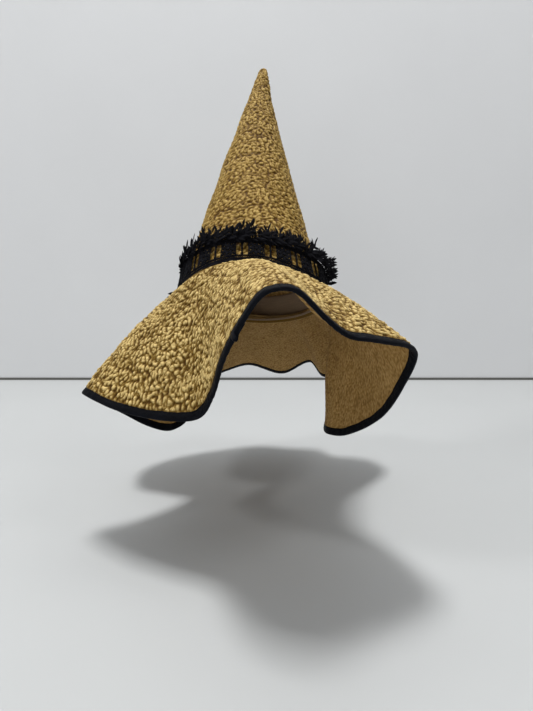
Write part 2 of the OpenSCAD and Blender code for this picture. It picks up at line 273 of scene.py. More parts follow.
def hem(az):
    """The hem at any azimuth, as a smooth curve through the keys."""
    start, n = HEM_KEYS[0, 0], len(HEM_KEYS)
    a = (np.asarray(az, float) - start) % TURN + start
    i = np.searchsorted(np.append(HEM_KEYS[:, 0], start + TURN), a, "right") - 1
    i = np.clip(i, 0, n - 1)

    def key(j):
        row = HEM_KEYS[j % n]
        return row[..., 0] + TURN * (j // n), row[..., 1:]

    def slope(j):
        (a0, p0), (a1, p1) = key(j - 1), key(j + 1)
        return (p1 - p0) / (a1 - a0)[..., None]

    (a0, p0), (a1, p1) = key(i), key(i + 1)
    gap = (a1 - a0)[..., None]
    t = (a - a0)[..., None] / gap
    return ((2 * t**3 - 3 * t**2 + 1) * p0 + (t**3 - 2 * t**2 + t) * gap * slope(i)
            + (3 * t**2 - 2 * t**3) * p1 + (t**3 - t**2) * gap * slope(i + 1))


def brim_face(az, share):
    """Point of the brim's middle face, by share of the way to the hem."""
    a = np.radians(az)
    sag = seam_sag(az)
    r = BRIM_START_R + sag * math.tan(SLOPE)
    seam = worn(vec(r * np.cos(a), r * np.sin(a), -sag))
    edge = hem(az)
    chord = edge - seam
    reach = np.linalg.norm(chord, axis=-1, keepdims=True)
    along = chord / reach
    outward = worn(vec(np.cos(a), np.sin(a), LEAVE_RISE))
    bow = unit(outward - np.sum(outward * along, -1, keepdims=True) * along)
    control = seam + BOW_AT * chord + 2 * BRIM_BOW * reach * bow
    s = np.asarray(share, float)[..., None]
    fold = FOLD * bump(-12, 26, (az + 90) % TURN - 90) * bump(0.6, 0.42, share)
    return ((1 - s) ** 2 * seam + 2 * s * (1 - s) * control + s**2 * edge
            - vec(fold, 0.0, 0.0))


def brim_point(az, share, up):
    """Point at a height over the brim's middle face."""
    az, share, up = alike(az, share, up)
    normal = unit(np.cross(brim_face(az, share + 0.02) - brim_face(az, share - 0.02),
                           brim_face(az + 0.5, share) - brim_face(az - 0.5, share)))
    return brim_face(az, share) + up[..., None] * normal


def brim_flat(az, share):
    """Where a point of the brim lies on the flat ring it was cut from."""
    r, a = HEAD_R + share * BRIM_W, np.radians(az)
    return r * np.cos(a), r * np.sin(a)


# ---------- meshes ----------


class Solid:
    """Points and faces of one piece, gathered from many parts."""

    def __init__(self):
        self.points, self.faces, self.values, self.flats = [], [], [], []
        self.count = 0

    def add(self, points, faces, values=None, flats=None):
        """Adds points with faces that count from the first of them."""
        n = len(points)
        self.points.append(points)
        self.faces += [np.asarray(f) + self.count for f in faces if len(f)]
        self.values.append(np.ones(n) if values is None else values)
        self.flats.append(points if flats is None else flats)
        self.count += n

    def add_rings(self, rings, values=None, flats=None):
        """Adds a closed sheet from rings of the same number of points."""
        self.add(np.concatenate(rings), loft([len(ring) for ring in rings]),
                 None if values is None else np.concatenate(values),
                 None if flats is None else np.concatenate(flats))

    def build(self, node, kind, slot, material, place=None):
        """Makes the piece that stands for a CAD node, riding on the one body."""
        name = node + "_" + kind
        points = np.concatenate(self.points)
        flats = np.concatenate(self.flats)
        if place is not None:
            points = place(points)
        mesh = bpy.data.meshes.new(name)
        mesh.vertices.add(len(points))
        mesh.vertices.foreach_set("co", (points * MM).astype(np.float32).ravel())
        sizes = np.concatenate([np.full(len(f), f.shape[1]) for f in self.faces])
        loops = np.concatenate([f.ravel() for f in self.faces])
        mesh.loops.add(len(loops))
        mesh.loops.foreach_set("vertex_index", loops.astype(np.int32))
        mesh.polygons.add(len(sizes))
        starts = np.concatenate([[0], np.cumsum(sizes)[:-1]])
        mesh.polygons.foreach_set("loop_start", starts.astype(np.int32))
        mesh.update(calc_edges=True)
        mesh.validate()
        mesh.shade_smooth()
        relief = mesh.attributes.new("relief", "FLOAT", "POINT")
        relief.data.foreach_set("value", np.concatenate(self.values).astype(np.float32))
        flat = mesh.attributes.new("flat", "FLOAT_VECTOR", "POINT")
        flat.data.foreach_set("vector", (flats * MM).astype(np.float32).ravel())
        mesh.materials.append(material)
        piece = bpy.data.objects.new(name, mesh)
        bpy.context.scene.collection.objects.link(piece)
        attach(piece, "root")
        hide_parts(node)
        return piece


def loft(rings, closed=True):
    """Faces between rings of points that run the same way round. A ring may
    have a whole number of times as many points as its neighbour. The last ring
    joins the first, or else each end closes on a point that follows the rings."""
    starts = np.concatenate([[0], np.cumsum(rings)])
    last, faces = len(rings) - 1, []
    for i in range(last + closed):
        j = (i + 1) % len(rings)
        a, b = rings[i], rings[j]
        n = min(a, b)
        k, near = np.arange(n), max(a, b) // n
        if a >= b:
            edge = [starts[i] + (k * near + m) % a for m in range(near + 1)]
            faces.append(np.stack(edge + [starts[j] + (k + 1) % b, starts[j] + k], 1))
        else:
            edge = [starts[j] + (k * near + m) % b for m in range(near, -1, -1)]
            faces.append(np.stack([starts[i] + k, starts[i] + (k + 1) % a] + edge, 1))
    for ring, way, pole in [] if closed else [(0, -1, 0), (last, 1, 1)]:
        k = np.arange(rings[ring])
        edge = [starts[ring] + k, starts[ring] + (k + 1) % rings[ring]][::way]
        faces.append(np.stack(edge + [np.full(len(k), starts[-1] + pole)], 1))
    return faces


def skin(n, m, closed=False):
    """Faces over n rings of m points each, with the last ring joined to the
    first or else both ends capped."""
    i, j = np.meshgrid(np.arange(n - 1 + closed), np.arange(m), indexing="ij")
    i, j = i.ravel(), j.ravel()
    here, far, on = i * m, (i + 1) % n * m, (j + 1) % m
    sides = np.stack([here + j, far + j, far + on, here + on], 1)
    if closed:
        return [sides]
    k = np.arange(m)
    return [sides, np.stack([k, (n - 1) * m + k[::-1]])]


def tube_faces(n, sides, closed):
    """Faces of a tube, which looks outwards when its rings run the other way
    round than a skin's."""
    quads, *caps = skin(n, sides, closed)
    return [np.roll(quads[:, ::-1], 1, 1)] + [cap[:, ::-1] for cap in caps]


def azimuths(count):
    """Azimuths round the hat, from the front."""
    return TURN * np.arange(count) / count - 90.0


def rows(start, end, spacing):
    return np.linspace(start, end, round(abs(end - start) / spacing) + 1)


def layers(count, side, start, end, spacing):
    """Rings of count points each, on one side of a sheet."""
    return [(count, row, side) for row in rows(start, end, spacing)]


# ---------- materials ----------


class Nodes:
    """A material's nodes, with shorthand for adding and joining them."""

    def __init__(self, name):
        self.material = bpy.data.materials.new(name)
        self.material.use_nodes = True
        self.tree = self.material.node_tree
        self.shader = self.tree.nodes["Principled BSDF"]

    def put(self, socket, value):
        if isinstance(value, bpy.types.NodeSocket):
            self.tree.links.new(value, socket)
        else:
            socket.default_value = value

    def add(self, kind, inputs=None, **settings):
        node = self.tree.nodes.new(kind)
        for key, value in settings.items():
            setattr(node, key, value)
        for key, value in (inputs or {}).items():
            self.put(node.inputs[key], value)
        return node

    def set(self, **inputs):
        for key, value in inputs.items():
            self.put(self.shader.inputs[key.replace("_", " ")], value)

    def attribute(self, name, output):
        return self.add("ShaderNodeAttribute", attribute_name=name).outputs[output]

    def noise(self, vector, scale, detail=3.0):
        return self.add("ShaderNodeTexNoise", {
            "Vector": vector, "Scale": scale, "Detail": detail,
            "Roughness": 0.55}).outputs["Fac"]

    def ramp(self, fac, stops):
        node = self.add("ShaderNodeValToRGB", {"Fac": fac})
        ramp = node.color_ramp
        while len(ramp.elements) < len(stops):
            ramp.elements.new(0.5)
        for element, (position, colour) in zip(ramp.elements, stops):
            element.position, element.color = position, (*colour, 1.0)
        return node.outputs["Color"]

    def mix(self, kind, fac, a, b):
        return self.add("ShaderNodeMix", {0: fac, 6: a, 7: b}, data_type="RGBA",
                        blend_type=kind).outputs[2]

    def math(self, operation, a, b):
        return self.add("ShaderNodeMath", {0: a, 1: b}, operation=operation).outputs[0]

    def turned(self, vector, angle, stretch=(1.0, 1.0, 1.0)):
        return self.add("ShaderNodeMapping", {
            "Vector": vector, "Rotation": (0.0, 0.0, angle),
            "Scale": stretch}).outputs["Vector"]

    def ribs(self, vector, pitch, distortion, direction="X"):
        """Fine ribs that repeat every pitch, in metres."""
        return self.add("ShaderNodeTexWave", {
            "Vector": vector, "Scale": 2 * math.pi / (20 * pitch),
            "Distortion": distortion, "Detail": 1.0},
            bands_direction=direction).outputs["Fac"]

    def bump(self, height, distance, strength, **under):
        return self.add("ShaderNodeBump", {
            "Height": height, "Distance": distance, "Strength": strength,
            **under}).outputs["Normal"]


def cloth_material(name, painted_crease_shade, body, painted_top_highlight, weave, grain, roughness):
    """Crinkled cloth: painted shade in the creases and a painted highlight on the tops, which
    are also polished, with a fine weave that follows the flat cloth, and uneven dyeing."""
    n = Nodes(name)
    relief = n.attribute("relief", "Fac")
    flat = n.attribute("flat", "Vector")
    fine = n.noise(flat, 900.0)
    patches = n.noise(flat, 22.0, 2.0)
    fibres = n.noise(n.turned(flat, -grain, (160.0, 1400.0, 160.0)), 1.0, 2.0)
    mixed = n.math("ADD", relief, n.math("MULTIPLY", n.math("SUBTRACT", fine, 0.5), 0.3))
    # The ramp on the relief paints shade into the creases and a highlight onto the tops of the
    # puckers.
    colour = n.ramp(mixed, [(0.36, painted_crease_shade), (0.54, body), (0.80, painted_top_highlight)])
    dye = n.ramp(patches, [(0.3, (0.86, 0.84, 0.80)), (0.7, (1.0, 1.0, 1.0))])
    colour = n.mix("MULTIPLY", 0.8, colour, dye)
    streak = n.ramp(fibres, [(0.35, (0.74, 0.70, 0.62)), (0.62, (1.0, 1.0, 1.0))])
    colour = n.mix("MULTIPLY", 0.55, colour, streak)
    across = n.turned(flat, -grain)
    warp, weft = n.ribs(across, weave, 1.5), n.ribs(across, weave, 1.5, "Y")
    woven = n.math("ADD", n.math("MULTIPLY", warp, weft), fibres)
    normal = n.bump(woven, 0.00025, 0.7, Normal=n.bump(relief, 0.002, 0.5))
    n.set(Base_Color=colour, Normal=normal, Specular_IOR_Level=0.1,
          Roughness=n.math("SUBTRACT", roughness, n.math("MULTIPLY", relief, 0.16)))
    return n.material


def thread_material(name, dark, light, pitch, roughness, sheen=0.0):
    """Wound or twisted thread: fine slanting ribs and loose fibres."""
    n = Nodes(name)
    place = n.attribute("flat", "Vector")
    fibres = n.noise(place, 2400.0)
    colour = n.ramp(n.noise(place, 130.0, 4.0), [(0.3, dark), (0.75, light)])
    twist = n.ribs(n.turned(place, math.radians(38)), pitch, 2.5)
    normal = n.bump(n.math("ADD", twist, fibres), 0.00022, 0.8)
    n.set(Base_Color=colour, Roughness=roughness, Normal=normal, Sheen_Weight=sheen,
          Specular_IOR_Level=0.06)
    return n.material


def tape_material(name, dark, light, pitch):
    """Bias tape: a fine diagonal twill with a soft shine, paler where worn."""
    n = Nodes(name)
    place = n.attribute("flat", "Vector")
    relief = n.attribute("relief", "Fac")
    twill = n.ribs(n.turned(place, math.radians(45)), pitch, 0.6)
    fibres = n.noise(place, 1500.0)
    worn_look = n.math("ADD", n.math("MULTIPLY", n.noise(place, 60.0, 4.0), 0.7),
                       n.math("MULTIPLY", relief, 0.3))
    colour = n.ramp(worn_look, [(0.35, dark), (0.85, light)])
    normal = n.bump(n.math("ADD", twill, n.math("MULTIPLY", fibres, 0.6)), 0.00015, 0.7)
    n.set(Base_Color=colour, Roughness=0.55, Normal=normal, Specular_IOR_Level=0.06)
    return n.material


def plain_cloth_material(name, dark, light, weave, roughness):
    """Plain woven cloth, such as the stiffener and the sweatband."""
    n = Nodes(name)
    flat = n.attribute("flat", "Vector")
    warp, weft = n.ribs(flat, weave, 0.8), n.ribs(flat, weave, 0.8, "Y")
    woven = n.math("MAXIMUM", warp, weft)
    slubs = n.noise(n.turned(flat, 0.0, (60.0, 900.0, 60.0)), 1.0)
    colour = n.ramp(n.math("MULTIPLY", n.math("ADD", woven, slubs), 0.5),
                    [(0.25, dark), (0.75, light)])
    n.set(Base_Color=colour, Roughness=roughness, Sheen_Weight=0.15,
          Normal=n.bump(n.math("ADD", woven, slubs), 0.00025, 0.6))
    return n.material


BRIM_GRAIN = math.radians(28)
STRAW = cloth_material(
    "straw_cloth", (0.075, 0.033, 0.002), (0.205, 0.118, 0.016), (0.50, 0.345, 0.110),
    0.0011, 0.0, 0.6)
# The brim's copy of the straw has tops painted lighter than the crown's: a stronger painted
# highlight where the brim faces the top light.
STRAW_BRIM = cloth_material(
    "straw_cloth_brim", (0.075, 0.034, 0.002), (0.200, 0.118, 0.020),
    (0.69, 0.520, 0.220), 0.0011, BRIM_GRAIN, 0.6)
LINING = cloth_material(
    "lining_cloth", (0.261, 0.152, 0.047), (0.36, 0.215, 0.070), (0.52, 0.330, 0.120),
    0.0009, BRIM_GRAIN, 0.85)
STIFFENER = plain_cloth_material(
    "stiffener", (0.55, 0.52, 0.46), (0.80, 0.77, 0.70), 0.0016, 0.9)
RIBBON = plain_cloth_material(
    "ribbon", (0.10, 0.062, 0.032), (0.27, 0.185, 0.11), 0.0012, 0.7)
TAPE = tape_material("binding_tape", (0.0008, 0.001, 0.002), (0.004, 0.005, 0.009), 0.0009)
LACE = thread_material("lace_thread", (0.0015, 0.0015, 0.0025), (0.007, 0.007, 0.010),
                       0.0006, 0.75)
BLACK_THREAD = thread_material("black_thread", (0.002, 0.002, 0.003),
                               (0.008, 0.008, 0.011), 0.0005, 0.6)
TAN_THREAD = thread_material("tan_thread", (0.30, 0.19, 0.08), (0.52, 0.37, 0.19),
                             0.0005, 0.65, 0.1)

# ---------- crinkled sheets ----------

# Length of one pucker, and how far its top stands over its creases.
PUCKER = 5.0
CROWN_PUCKER = 4.7
LINING_PUCKER = 3.8
PUCKER_RELIEF = 3.3
LINING_RELIEF = 0.7
# How far the top of a pucker stands over the cloth's own face.
PUFF = 1.9
# Sides of the squares of flat cloth that the crinkle is worked out on.
SHEET_SPAN = 520.0
CROWN_SPAN = 780.0


def puffed(relief):
    """How far the crinkle stands over the cloth's face, or sinks below it."""
    return PUFF - PUCKER_RELIEF * (1 - relief)


brim_crinkle = Crinkle(SHEET_SPAN, PUCKER, 11, BRIM_GRAIN, 1.5)
crown_crinkle = Crinkle(CROWN_SPAN, CROWN_PUCKER, 51, 0.0, 1.6)
lining_crinkle = Crinkle(CROWN_SPAN, LINING_PUCKER, 31, BRIM_GRAIN, 1.1)


def make_sheet(rings, place, shape, poles=(), pole_relief=0.6):
    """A closed sheet from layers of rings. Shape turns a ring's azimuths, its
    place across the sheet and its side into lift, relief and place on the flat
    cloth. The sheet closes on itself, like the brim's, or in a pole at the end
    of each side, like the crown's."""
    solid, points, values, flats = Solid(), [], [], []
    for count, row, side in rings:
        az = azimuths(count)
        lift, relief, flat = shape(az, row, side)
        points.append(place(az, row, lift))
        values.append(np.broadcast_to(relief, az.shape))
        flats.append(vec(*flat, 0.0))
    faces = loft([len(ring) for ring in points], closed=not poles)
    if poles:
        points.append(np.array(poles))
        values.append(np.full(len(poles), pole_relief))
        flats.append(np.zeros((len(poles), 3)))
    solid.add(np.concatenate(points), faces, np.concatenate(values),
              np.concatenate(flats))
    return solid


# Shares of the way to the hem at which the brim's cloths begin, inside the head
# seam, and at which their rings get finer.
BRIM_INSIDE = -2.2 / BRIM_W
BRIM_FINER = 0.42
BINDING_W = 6.5


def clear_of_tape(share):
    """0 under the binding and 1 where the cloth lies free of it."""
    return step(BINDING_W - 1.5, BINDING_W + 2.0, (1 - share) * BRIM_W)


def brim_top_shape(az, share, side):
    u, v = brim_flat(az, share)
    if side == "under":
        return np.zeros_like(az), 0.5, (u, v)
    relief = brim_crinkle(u, v)
    free = clear_of_tape(share) * step(0.0, 4.0, share * BRIM_W)
    swell = 0.25 * waves(u, v, 26.0, 15, 12)
    lift = CLOTH_T - 0.45 * (1 - free) + (puffed(relief) + swell) * free
    return lift, relief * free + 0.5 * (1 - free), (u, v)


def make_brim_top():
    gap = 1.0 / BRIM_W
    rings = layers(1440, "top", 1.0, BRIM_FINER, gap)
    rings += layers(720, "top", BRIM_FINER - gap, BRIM_INSIDE, gap)
    rings += layers(360, "under", BRIM_INSIDE, 1.0, 8 * gap)
    return make_sheet(rings, brim_point, brim_top_shape).build(
        "brim_top_cloth", "soft", "straw_cloth", STRAW_BRIM)


def billow(az, share):
    """How far the lining sags below the brim where the arch turns down."""
    from_hem = (1 - share) * BRIM_W
    return 3.6 * bump(-81, 11, az) * step(6.0, 12.0, from_hem) * step(45.0, 12.0, from_hem)


def brim_lining_shape(az, share, side):
    u, v = brim_flat(az, share)
    if side == "hidden":
        return np.full_like(az, -INTERLINING_T), 0.5, (u, v)
    relief = lining_crinkle(u, v)
    free = clear_of_tape(share)
    around = (az + 90) % TURN - 90
    depth = INTERLINING_T + LINING_T - 0.3 * (1 - free) + billow(around, share)
    depth = depth - LINING_RELIEF * (1 - relief) * free
    return -depth, relief * free + 0.5 * (1 - free), (u, v)


def make_brim_lining():
    gap = 1.5 / BRIM_W
    rings = layers(360, "hidden", 1.0, BRIM_INSIDE, 8.0 / BRIM_W)
    rings += layers(540, "seen", BRIM_INSIDE, BRIM_FINER - gap, gap)
    rings += layers(1080, "seen", BRIM_FINER, 1.0, gap)
    return make_sheet(rings, brim_point, brim_lining_shape).build(
        "brim_lining", "soft", "lining_cloth", LINING)


def make_stiffener(node, place, flat, face, slack, count, start, end, spacing):
    """A stiffener, slack thinner on each side than the room below face."""
    def shape(az, row, side):
        depth = face + (slack if side == "upper" else INTERLINING_T - slack)
        return np.full_like(az, -depth), 0.5, flat(az, row)

    rings = layers(count, "upper", start, end, spacing)
    rings += layers(count, "lower", end, start, spacing)
    return make_sheet(rings, place, shape).build(node, "soft", "stiffener", STIFFENER)


def seam_groove(az, along):
    """0 far from the crown's seam and 1 in it, and how free the crinkle is."""
    off = np.radians(np.abs((az - SEAM_AZ + 180) % TURN - 180))
    off = off * (SIDE_L - along) * math.sin(SLOPE)
    return np.exp(-(off / 1.3) ** 2), step(0.8, 4.0, off)


def crown_cloth_shape(az, along, side):
    u, v = crown_flat(az, along)
    if side == "inner":
        return np.full_like(az, -CLOTH_T), 0.5, (u, v)
    relief = crown_crinkle(u, v)
    groove, free = seam_groove(az, along)
    to_tip = step(0.0, 14.0, TIP_L - along)
    lift = 0.85 * puffed(relief) * free * (0.35 + 0.65 * to_tip) - 1.1 * groove
    wobble = 0.25 * waves(u, v, 60.0, 57, 12) * to_tip * free
    # In the seam's groove the relief is set to 0.25, so the groove takes the painted crease
    # shade.
    return lift + wobble, relief * free + 0.25 * (1 - free), (u, v)


def make_crown_cloth():
    rings = layers(144, "inner", TIP_FROM - 12, -5.0, 9.0)
    for low, high in ((-5.0, 150.0), (151.3, 250.0), (251.3, TIP_L - 0.6)):
        rings += layers(432, "outer", low, high, 1.3)
    inner_tip = vec(0.0, 0.0, CONE_H - CLOTH_T / math.sin(SLOPE) - 12)
    poles = [worn(bent(inner_tip)), crown_point(0.0, TIP_L, 0.0)]
    return make_sheet(rings, crown_point, crown_cloth_shape, poles).build(
        "crown_cloth", "soft", "straw_cloth", STRAW)


def make_crown_lining():
    def shape(az, along, side):
        u, v = crown_flat(az, along)
        if side == "outer":
            return np.full_like(az, -LINING_D), 0.5, (u, v)
        relief = lining_crinkle(u, v)
        groove, free = seam_groove(az, along)
        lift = -(LINING_D + LINING_T) + LINING_RELIEF * (1 - relief) * free
        # In the seam's groove the relief is set to 0.3, so the groove takes the lining's
        # painted crease shade.
        return lift + 0.3 * groove, relief * free + 0.3 * (1 - free), (u, v)

    rings = layers(144, "outer", LINING_TOP, 0.0, 10.0)
    rings += layers(288, "inner", 0.0, LINING_TOP, 1.9)
    top = LINING_TOP * math.cos(SLOPE)
    poles = [worn(bent(vec(0.0, 0.0, top + over))) for over in (6.0, 4.5)]
    return make_sheet(rings, crown_point, shape, poles, 0.5).build(
        "crown_lining", "soft", "lining_cloth", LINING)


# ---------- binding and sewing ----------

# The binding's outer line: distance in from the hem, and height over the
# brim's middle, from its upper inner edge to the fold.
BINDING_LINE = [(6.5, 1.15), (6.3, 1.65), (5.8, 1.95), (5.1, 1.72), (4.4, 1.98),
                (3.4, 2.15), (2.2, 2.2), (1.1, 2.15), (0.2, 2.0), (-0.6, 1.6),
                (-1.1, 0.9), (-1.3, 0.0)]
# Its inner line, the other way round.
BINDING_INSIDE = [(-0.7, 0.0), (-0.4, 0.9), (0.4, 1.2), (3.2, 1.3), (6.2, 0.95)]


def tape_loop(outer, inner):
    """The whole section: lower half, upper half, then back inside."""
    lower = [(x, -y) for x, y in outer[:-1]]
    return lower + outer[::-1] + inner[::-1] + [(x, -y) for x, y in inner[1:]]


def tape_rings(az, section, extra, nub=0.0):
    """Rings along the hem, one for each point of the section, with the relief
    and flat place of their points. The fold stands nub further out."""
    rings, reliefs, flats = [], [], []
    along = np.radians(az) * (HEAD_R + BRIM_W)
    seen = 2 * len(BINDING_LINE) - 1
    for index, (x, y) in enumerate(section):
        width = x * (1 + 0.03 * waves(along, 0.0, 24.0, 93, 8))
        lift, relief = y, 0.3
        if index < seen:
            ripple = 0.10 * waves(along, 3.0 * x, 9.0, 91, 12)
            lift = y + math.copysign(1.0, y) * (extra + ripple)
            relief = 0.9 if x < 0.5 else 0.3
            width = width - (nub if x < 0 else 0.0)
        rings.append(brim_point(az, 1 - width / BRIM_W, lift))
        reliefs.append(np.full_like(az, relief))
        flats.append(vec(along, index + 1.0, 0.0))
    return rings, reliefs, flats


def make_binding():
    az = azimuths(1260)
    rings, reliefs, flats = tape_rings(az, tape_loop(BINDING_LINE, BINDING_INSIDE), 0.0)
    solid = Solid()
    solid.add_rings(rings, reliefs, flats)
    return solid.build("brim_binding", "soft", "binding_tape", TAPE)


def make_binding_join():
    """A short second turn of tape over the first, with its corner folded out."""
    az = JOIN_AZ + np.linspace(-1.7, 1.7, 25)
    section = tape_loop([(x + 0.1, y) for x, y in BINDING_LINE], BINDING_INSIDE)
    nub = 4.6 * np.exp(-((az - JOIN_AZ + 1.0) / 0.45) ** 4)
    rings, reliefs, flats = tape_rings(az, section, 0.5, nub)
    solid = Solid()
    solid.add(np.stack(rings, 1).reshape(-1, 3), skin(len(az), len(section)),
              np.stack(reliefs, 1).ravel(), np.stack(flats, 1).reshape(-1, 3))
    solid.build("binding_join", "soft", "binding_tape", TAPE)


def capsule(length, radius):
    """A short thread along X, with rounded ends, as points and faces."""
    xs = np.array([-0.5, -0.42, -0.2, 0.0, 0.2, 0.42, 0.5])[:, None] * length
    rs = np.array([0.35, 0.8, 1.0, 1.05, 1.0, 0.8, 0.35])[:, None] * radius
    turn = angles(6)
    points = vec(xs, rs * np.cos(turn), rs * np.sin(turn))
    return points.reshape(-1, 3), skin(len(xs), len(turn))


def stitches(solid, middles, alongs, ups, length, radius):
    """Adds a thread at each middle point, lying along and pressed flat."""
    points, faces = capsule(length, radius)
    for middle, along, up in zip(middles, unit(alongs), unit(ups)):
        side = np.cross(up, along)
        turn = np.stack([along, unit(side), np.cross(along, unit(side))])
        solid.add(middle + points @ turn, faces, flats=points + middle)


def make_binding_stitches():
    solid = Solid()
    az, share = azimuths(360), 1 - 5.1 / BRIM_W
    for height in (1.78, -1.78):
        middle = brim_point(az, share, height)
        along = brim_point(az + 0.2, share, height) - brim_point(az - 0.2, share, height)
        up = brim_point(az, share, height + 1) - middle
        stitches(solid, middle, along, up, 3.2, THREAD_R * 0.75)
    solid.build("binding_stitches", "fine", "black_thread", BLACK_THREAD)


def make_crown_sewing():
    """Stitches up the crown's seam, and round the sweatband and the head seam."""
    for node, az, along, out in (
            ("crown_seam_stitches", np.full(56, SEAM_AZ), np.linspace(8.0, 236.0, 56),
             -ALLOWANCE_D - 0.5),
            ("sweatband_stitches", azimuths(128), 1.5,
             -(SWEATBAND_D + SWEATBAND_T + 0.25)),
            ("head_seam_stitches", azimuths(128), 3.0, 0.05)):
        middle = crown_point(az, along, out)
        if node == "crown_seam_stitches":
            run = crown_point(az, along + 1, out) - middle
        else:
            run = crown_point(az + 0.5, along, out) - crown_point(az - 0.5, along, out)
        solid = Solid()
        stitches(solid, middle, run, crown_point(az, along, out + 1) - middle,
                 3.0, THREAD_R)
        solid.build(node, "fine", "tan_thread", TAN_THREAD)


def make_seam_allowance():
    """The two pressed edges of the crown's seam, each a thin frayed strip."""
    solid = Solid()
    alongs = rows(3.0, 238.0, 2.5)
    for side in (-1, 1):
        corners = []
        for along in alongs:
            r = (SIDE_L - along) * math.sin(SLOPE)
            fray = 0.35 * math.sin(along * 1.7) + 0.25 * math.sin(along * 0.73)
            for off, depth in ((0.5, 0.1), (ALLOWANCE_W + fray, 0.15),
                               (ALLOWANCE_W + fray, 0.75), (0.5, 0.85)):
                az = SEAM_AZ + side * math.degrees(off / r)
                corners.append(crown_point(az, along, -ALLOWANCE_D - depth))
        faces = tube_faces(len(alongs), 4, False)
        if side < 0:
            faces = [f[:, ::-1] for f in faces]
        solid.add(np.array(corners), faces, np.full(len(corners), 0.6))
    solid.build("crown_seam_allowance", "soft", "straw_cloth", STRAW)


def make_sweatband():
    """A ribbed ribbon inside the opening, its top edge just off the lining."""
    foot, top, stand = -2.0, 28.0, 0.9
    face = SWEATBAND_D + SWEATBAND_T
    section = [(foot + (top - foot) * share, face + stand * share**3)
               for share in np.linspace(0, 1, 13)]
    section.append((top + 0.3, SWEATBAND_D + 0.5 + stand))
    section += [(foot + (top - foot) * share, SWEATBAND_D + stand * share**3)
                for share in np.linspace(1, 0, 7)]
    section.append((foot - 0.3, SWEATBAND_D + 0.5))
    az = azimuths(360)
    around = np.radians(az) * HEAD_R
    rings, flats = [], []
    for along, depth in section[::-1]:
        ripple = 0.12 * waves(around, along, 30.0, 95, 10)
        rings.append(crown_point(az, along, -depth + ripple))
        flats.append(vec(around, along, 0.0))
    solid = Solid()
    solid.add_rings(rings, flats=flats)
    return solid.build("sweatband", "soft", "ribbon", RIBBON)


# ---------- lace ----------

LACE_L = 2 * math.pi * BAND_R
REPEAT = LACE_L / ROSETTES
OPEN_MIDDLE = HEADING_H + OPENWORK_H / 2
# Share of the seam's sag that the lace has made up for at its braid.
LACE_EVENS = 0.6
PETALS = 8


def on_lace(points):
    """From flat lace, x along it, y up it and z out, to the worn hat."""
    az, up = points[..., 0] / LACE_L * TURN, points[..., 1]
    down = seam_sag(az) * (1 - LACE_EVENS * np.clip(up / (HEADING_H + OPENWORK_H), 0, 1))
    return worn(cone_point(az, up - down, points[..., 2], BAND_R, LACE_LEAN))


def tube(path, radius, sides=6, closed=False):
    """A thread along a path of flat-lace points. A list of radii tapers it."""
    path = np.asarray(path, float)
    if closed:
        ahead, behind = np.roll(path, -1, 0), np.roll(path, 1, 0)
    else:
        ahead = np.vstack([path[1:], 2 * path[-1] - path[-2]])
        behind = np.vstack([2 * path[0] - path[1], path[:-1]])
    along = unit(ahead - behind)
    side = unit(np.cross(along, np.array([0.0, 0.0, 1.0])))
    up = np.cross(side, along)
    turn = angles(sides)[:, None]
    r = np.broadcast_to(np.asarray(radius, float), len(path))[:, None, None]
    around = np.cos(turn) * side[:, None, :] + np.sin(turn) * up[:, None, :]
    points = (path[:, None, :] + r * around).reshape(-1, 3)
    return points, tube_faces(len(path), sides, closed)


def ring(solid, x, y, z, r, thread, count, sides=5):
    """A ring of thread that lies flat on the lace."""
    turn = angles(count)
    path = vec(x + r * np.cos(turn), y + r * np.sin(turn), z)
    solid.add(*tube(path, thread, sides, closed=True))


def pad(length, width, thick, rings=9, sides=10, crease=0.0):
    """A padded almond along +Y from the origin, flat across Z, with a crease
    down its middle if asked. It stands for one leaf or petal of satin stitch."""
    t = np.linspace(0.0, 1.0, rings)
    wide = np.sin(math.pi * t**0.85) ** 0.8 * 0.5 * width
    wide[0], wide[-1] = 0.06 * width, 0.04 * width
    high = np.maximum(np.sin(math.pi * t) ** 0.7 * 0.5 * thick, 0.05 * thick)
    turn = angles(sides)
    x = wide[:, None] * np.cos(turn)
    z = high[:, None] * np.sin(turn) * (1 - crease * np.exp(-(np.cos(turn) / 0.3) ** 2))
    return vec(x, (t * length)[:, None], z).reshape(-1, 3), skin(rings, sides)


def turned(points, lean, tip_out, x=0.0, y=0.0, z=0.0, roll=0.0):
    """Rolls points about Y, tips +Y out by tip_out, leans it towards +X by
    lean, and moves them. Angles are radians."""
    c, s = math.cos(roll), math.sin(roll)
    p = points @ np.array([[c, 0, -s], [0, 1, 0], [s, 0, c]])
    c, s = math.cos(tip_out), math.sin(tip_out)
    p = p @ np.array([[1, 0, 0], [0, c, s], [0, -s, c]])
    c, s = math.cos(lean), math.sin(lean)
    p = p @ np.array([[c, -s, 0], [s, c, 0], [0, 0, 1]])
    return p + np.array([x, y, z])


def repeats():
    """Where each repeat of the lace starts, with a small unevenness."""
    rng = np.random.default_rng(5)
    for i in range(ROSETTES):
        yield i * REPEAT + LACE_TURN / TURN * LACE_L, rng.uniform(-0.25, 0.25, 4)


def along_lace(spacing):
    count = int(LACE_L / spacing)
    return LACE_L * np.arange(count) / count


def rope(solid, y, z, radius, strand):
    """Two strands laid round each other all along the lace."""
    x = along_lace(1.6)
    turns = round(LACE_L / 3.0)
    for phase in (0.0, math.pi):
        a = 2 * math.pi * turns * x / LACE_L + phase
        path = vec(x, y + radius * np.sin(a), z + 0.7 * radius * np.cos(a))
        closed_strand(solid, path, strand, 5)


def closed_strand(solid, path, radius, sides):
    """A closed tube round the whole lace. Its ends meet where x comes full
    circle, so the steps there are worked out on a repeated path."""
    shift = np.array([LACE_L, 0.0, 0.0])
    long_path = np.vstack([path[-1:] - shift, path, path[:1] + shift])
    points = tube(long_path, radius, sides)[0][sides:-sides]
    solid.add(points, tube_faces(len(path), sides, True))


